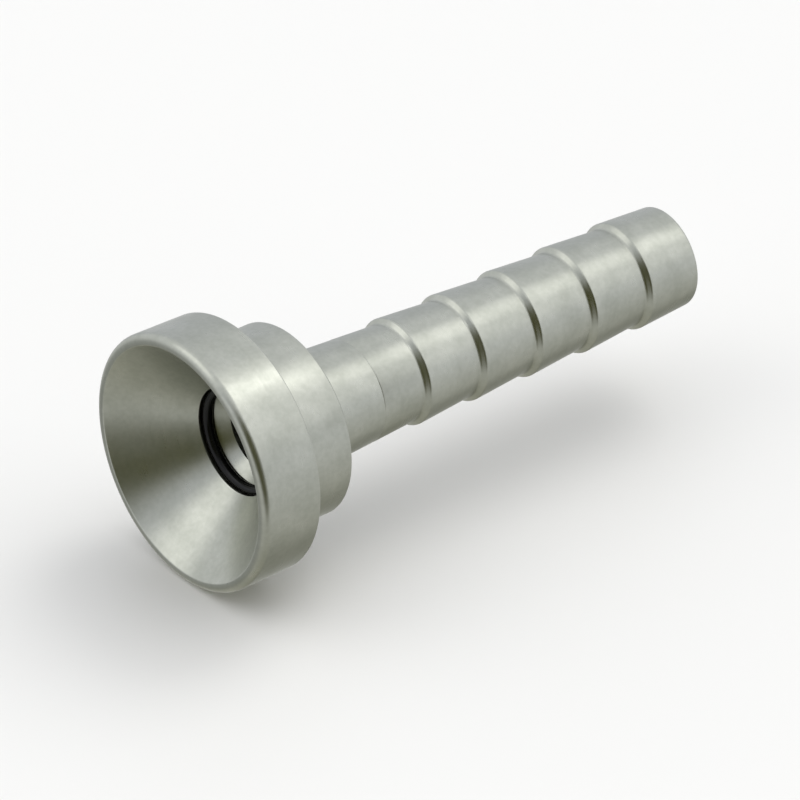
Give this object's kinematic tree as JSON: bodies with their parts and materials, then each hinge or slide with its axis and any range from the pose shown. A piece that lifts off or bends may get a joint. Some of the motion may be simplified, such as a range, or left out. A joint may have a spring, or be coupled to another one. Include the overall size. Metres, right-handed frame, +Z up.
{
  "type": "barbed hose tail",
  "caption": "Turned stainless hose tail for a gas line: wide head with a female cone seat and seal ring, stepped collar, and a barbed stem with a through bore.",
  "frame": {"origin": "centre of the mouth plane of the cone seat, on the fitting's axis", "axes": "+X along the fitting's axis from the mouth to the barbed tail's end; +Z up; the shape is the same all round the axis"},
  "size_m": [0.0463, 0.0204, 0.0204],
  "materials": {
    "turned_stainless": "satin, fine turning lines round the axis",
    "black_rubber": "smooth, slightly glossy"
  },
  "bodies": {
    "root": {"hose_tail_body": "turned_stainless", "seat_seal_ring": "black_rubber"}
  },
  "joints": []
}
